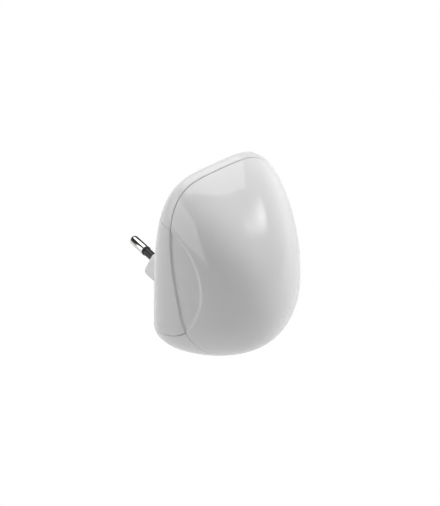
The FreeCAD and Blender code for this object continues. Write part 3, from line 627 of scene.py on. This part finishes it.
def surface(name, colour, rough, metallic=0.0, spread=0.03, grain=400.0, bump=0.02):
    """Principled surface whose colour, roughness and relief vary with noise."""
    material = bpy.data.materials.new(name)
    material.use_nodes = True
    tree = material.node_tree
    shader = tree.nodes["Principled BSDF"]
    place_node = tree.nodes.new("ShaderNodeTexCoord")
    noise = tree.nodes.new("ShaderNodeTexNoise")
    noise.inputs["Scale"].default_value = grain
    noise.inputs["Detail"].default_value = 3
    link(tree, place_node.outputs["Object"], noise.inputs["Vector"])
    tint = tree.nodes.new("ShaderNodeMix")
    tint.data_type = "RGBA"
    dark = [c * (1 - spread) for c in colour]
    light = [min(c * (1 + spread), 1.0) for c in colour]
    tint.inputs["A"].default_value = (*dark, 1)
    tint.inputs["B"].default_value = (*light, 1)
    link(tree, noise.outputs["Fac"], tint.inputs["Factor"])
    link(tree, tint.outputs["Result"], shader.inputs["Base Color"])
    spread_rough = tree.nodes.new("ShaderNodeMapRange")
    spread_rough.inputs["To Min"].default_value = rough * (1 - ROUGHNESS_SPREAD)
    spread_rough.inputs["To Max"].default_value = rough * (1 + ROUGHNESS_SPREAD)
    link(tree, noise.outputs["Fac"], spread_rough.inputs["Value"])
    link(tree, spread_rough.outputs["Result"], shader.inputs["Roughness"])
    relief = tree.nodes.new("ShaderNodeBump")
    relief.inputs["Strength"].default_value = bump
    relief.inputs["Distance"].default_value = RELIEF_HEIGHT
    link(tree, noise.outputs["Fac"], relief.inputs["Height"])
    link(tree, relief.outputs["Normal"], shader.inputs["Normal"])
    shader.inputs["Metallic"].default_value = metallic
    return material


SURFACES = {
    "white_housing": surface(
        "white_plastic", (0.80, 0.80, 0.80), 0.045, spread=0.012, grain=60, bump=0.01
    ),
    "plated_pins": surface("plated_metal", (0.78, 0.78, 0.77), 0.10, metallic=1, grain=900),
    "black_sleeve": surface("black_sleeve", (0.018, 0.018, 0.02), 0.32, grain=700),
    "brass_strip": surface("brass", (0.72, 0.50, 0.20), 0.3, metallic=1, grain=700),
    "plate_metal": surface("plate_metal", (0.62, 0.62, 0.62), 0.35, metallic=1, grain=500),
    "green_board": surface("board_green", (0.02, 0.16, 0.06), 0.4, spread=0.15, grain=300),
    "steel_screws": surface("screw_steel", (0.52, 0.52, 0.53), 0.3, metallic=1, grain=800),
    "yellow_case": surface("yellow_case", (0.75, 0.50, 0.05), 0.45, grain=500),
    "capacitor_can": surface("capacitor_can", (0.6, 0.62, 0.65), 0.3, metallic=1, grain=500),
    "blue_coating": surface("blue_coating", (0.02, 0.10, 0.42), 0.25, grain=500),
    "resistor_paint": surface("resistor_paint", (0.55, 0.42, 0.26), 0.45, grain=500),
    "black_moulding": surface("black_moulding", (0.02, 0.02, 0.02), 0.55, grain=900),
    "ferrite": surface("ferrite", (0.05, 0.05, 0.055), 0.7, grain=900, bump=0.2),
    "copper_wire": surface("copper_wire", (0.62, 0.24, 0.09), 0.3, metallic=1, grain=1500),
    "black_mesh": surface("black_mesh", (0.015, 0.015, 0.015), 0.8, grain=3000, bump=0.5),
    "foam": surface("foam", (0.04, 0.04, 0.04), 0.9, grain=2500, bump=0.5),
    "cone_metal": surface("cone_metal", (0.5, 0.5, 0.48), 0.35, metallic=1, grain=600),
    "red_insulation": surface("red_insulation", (0.45, 0.02, 0.02), 0.4, grain=500),
}


def dress(thing, slot_name):
    """Give a piece the surface of one of the record's material slots."""
    thing.data.materials.clear()
    thing.data.materials.append(SURFACES[slot_name])


# ---------------------------------------------------------------- build

for thing in (front_cover(), rear_shell(), plug_module()):
    dress(thing, "white_housing")
    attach(thing, "root")
for side, word in ((-1, "left"), (1, "right")):
    tip = contact_pin(side, word)
    dress(tip, "plated_pins")
    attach(tip, "root")
    sleeve = pin_sleeve(side, word)
    dress(sleeve, "black_sleeve")
    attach(sleeve, "root")

SLOT_OF = {s["node"]: s["material_slot"] for s in frame["record"]["subparts"]}
for name, node in frame["nodes"].items():
    node.data.materials.clear()
    node.data.materials.append(SURFACES[SLOT_OF[name]])


# ---------------------------------------------------------------- stage


def direction(azimuth, elevation):
    """Unit vector from the object towards a viewer at these angles, in degrees."""
    a, e = math.radians(azimuth), math.radians(elevation)
    return Vector((math.sin(a) * math.cos(e), -math.cos(a) * math.cos(e), math.sin(e)))


# Stage lengths are in metres, angles in degrees.
VIEW_AZIMUTH = -35.4
VIEW_ELEVATION = 40.4
VIEW_HEIGHT = 0.2040
VIEW_DISTANCE = 1.2
AIM_RIGHT = 0.00643
AIM_UP = 0.01003
ORIGIN = Vector((0, -BOSS_LENGTH * MM, 0))
LAMP_DISTANCE = 1.0
OVERHEAD_AT = Vector((0.20, 0.40, 1.0))
OVERHEAD_TURN = -16
ROOM_LIGHT = 0.315
ROOM_REFLECTED = 0.03
FLOOR_DROP = 0.12
FLOOR_HALF = 3.0
FLOOR_COLOUR = (0.8, 0.8, 0.8, 1)
WHITE = (1, 1, 1, 1)


def camera():
    """Very long lens from the front left and above."""
    a = math.radians(VIEW_AZIMUTH)
    e = math.radians(VIEW_ELEVATION)
    back = direction(VIEW_AZIMUTH, VIEW_ELEVATION)
    right = Vector((math.cos(a), math.sin(a), 0))
    up = Vector((-math.sin(a) * math.sin(e), math.cos(a) * math.sin(e), math.cos(e)))
    aim = ORIGIN + right * AIM_RIGHT + up * AIM_UP
    lens = bpy.data.cameras.new("camera")
    lens.type = "ORTHO"
    lens.ortho_scale = VIEW_HEIGHT
    lens.clip_start = 0.01
    lens.clip_end = 10
    thing = bpy.data.objects.new("camera", lens)
    thing.location = aim + back * VIEW_DISTANCE
    thing.rotation_mode = "QUATERNION"
    thing.rotation_quaternion = back.to_track_quat("Z", "Y")
    bpy.context.scene.collection.objects.link(thing)
    bpy.context.scene.camera = thing


def turned(degrees):
    """Turn about Z."""
    return Matrix.Rotation(math.radians(degrees), 3, "Z").to_quaternion()


def softbox(name, azimuth, elevation, width, height, glow, soft=0.0, roll=0.0):
    """Rectangular light that faces the object.

    `glow` is its brightness, paper white 1. `soft` is the share of it that fades at the edges.
    `roll` turns it about the line to the object, in degrees.
    """
    lamp = bpy.data.lights.new(name, "AREA")
    lamp.shape = "RECTANGLE"
    lamp.size = width
    lamp.size_y = height
    lamp.energy = glow * math.pi * width * height
    if soft:
        fade(lamp, soft)
    thing = bpy.data.objects.new(name, lamp)
    towards = direction(azimuth, elevation)
    thing.location = ORIGIN + towards * LAMP_DISTANCE
    thing.rotation_mode = "QUATERNION"
    thing.rotation_quaternion = towards.to_track_quat("Z", "Y") @ turned(roll)
    bpy.context.scene.collection.objects.link(thing)
    return thing


def fade(lamp, soft):
    """Dim a lamp smoothly towards its edges, like cloth over a box."""
    lamp.use_nodes = True
    tree = lamp.node_tree
    shape = tree.nodes.new("ShaderNodeNewGeometry")
    parts = tree.nodes.new("ShaderNodeSeparateXYZ")
    link(tree, shape.outputs["Parametric"], parts.inputs[0])
    product = None
    for axis in ("X", "Y"):
        ping = tree.nodes.new("ShaderNodeMath")
        ping.operation = "PINGPONG"
        ping.inputs[1].default_value = 0.5
        link(tree, parts.outputs[axis], ping.inputs[0])
        edge = tree.nodes.new("ShaderNodeMapRange")
        edge.interpolation_type = "SMOOTHSTEP"
        edge.inputs["From Max"].default_value = soft / 2
        link(tree, ping.outputs[0], edge.inputs["Value"])
        if product is None:
            product = edge.outputs["Result"]
        else:
            both = tree.nodes.new("ShaderNodeMath")
            both.operation = "MULTIPLY"
            link(tree, product, both.inputs[0])
            link(tree, edge.outputs["Result"], both.inputs[1])
            product = both.outputs[0]
    link(tree, product, tree.nodes["Emission"].inputs["Strength"])


def world_light():
    """White to the camera, a soft grey room for diffuse light, dark where it is reflected."""
    world = bpy.data.worlds.new("studio")
    world.use_nodes = True
    tree = world.node_tree
    room = tree.nodes["Background"]
    room.inputs["Color"].default_value = WHITE
    seen = tree.nodes.new("ShaderNodeBackground")
    seen.inputs["Color"].default_value = WHITE
    rays = tree.nodes.new("ShaderNodeLightPath")
    level = tree.nodes.new("ShaderNodeMapRange")
    level.inputs["To Min"].default_value = ROOM_LIGHT
    level.inputs["To Max"].default_value = ROOM_REFLECTED
    link(tree, rays.outputs["Is Glossy Ray"], level.inputs["Value"])
    link(tree, level.outputs["Result"], room.inputs["Strength"])
    mix = tree.nodes.new("ShaderNodeMixShader")
    link(tree, rays.outputs["Is Camera Ray"], mix.inputs[0])
    link(tree, room.outputs[0], mix.inputs[1])
    link(tree, seen.outputs[0], mix.inputs[2])
    link(tree, mix.outputs[0], tree.nodes["World Output"].inputs["Surface"])
    bpy.context.scene.world = world


def floor():
    """Plain white table top below the object, clear when seen from underneath."""
    mesh = bpy.data.meshes.new("floor")
    signs = ((-1, -1), (1, -1), (1, 1), (-1, 1))
    corners = [(x * FLOOR_HALF, y * FLOOR_HALF, -FLOOR_DROP) for x, y in signs]
    mesh.from_pydata(corners, [], [(0, 1, 2, 3)])
    thing = bpy.data.objects.new("floor", mesh)
    bpy.context.scene.collection.objects.link(thing)
    material = bpy.data.materials.new("floor")
    material.use_nodes = True
    tree = material.node_tree
    shader = tree.nodes["Principled BSDF"]
    shader.inputs["Base Color"].default_value = FLOOR_COLOUR
    shader.inputs["Roughness"].default_value = 0.9
    white = tree.nodes.new("ShaderNodeEmission")
    rays = tree.nodes.new("ShaderNodeLightPath")
    mix = tree.nodes.new("ShaderNodeMixShader")
    link(tree, rays.outputs["Is Camera Ray"], mix.inputs[0])
    link(tree, shader.outputs[0], mix.inputs[1])
    link(tree, white.outputs[0], mix.inputs[2])
    clear = tree.nodes.new("ShaderNodeBsdfTransparent")
    side = tree.nodes.new("ShaderNodeNewGeometry")
    one_sided = tree.nodes.new("ShaderNodeMixShader")
    link(tree, side.outputs["Backfacing"], one_sided.inputs[0])
    link(tree, mix.outputs[0], one_sided.inputs[1])
    link(tree, clear.outputs[0], one_sided.inputs[2])
    link(tree, one_sided.outputs[0], tree.nodes["Material Output"].inputs["Surface"])
    thing.data.materials.append(material)


camera()
world_light()
floor()
# A wide flat box overhead. On the left, one lamp that only lights and one panel that is only
# reflected; on the right, a wide panel and a fill that isn't reflected. A small soft lamp at the
# front right makes the bright patch on the dome.
overhead = softbox("overhead", 0, 90, 1.06, 1.3, 1.9)
overhead.location = ORIGIN + OVERHEAD_AT
overhead.rotation_quaternion = turned(OVERHEAD_TURN)
far_left = softbox("far_left", -150, 25, 1.0, 0.8, 2.0, soft=0.5)
far_left.visible_glossy = False
left_panel = softbox("left_panel", -95, 10, 1.15, 1.15, 1.8)
left_panel.visible_diffuse = False
softbox("right_panel", 85, 5, 1.6, 1.2, 1.2, soft=1.0)
right_front = softbox("right_front", 58, 4, 1.2, 1.0, 3.8, soft=1.0)
right_front.visible_glossy = False
softbox("front_lamp", 41, 41, 0.46, 0.30, 6, soft=1.0, roll=38)
bpy.context.scene.view_settings.view_transform = "Standard"
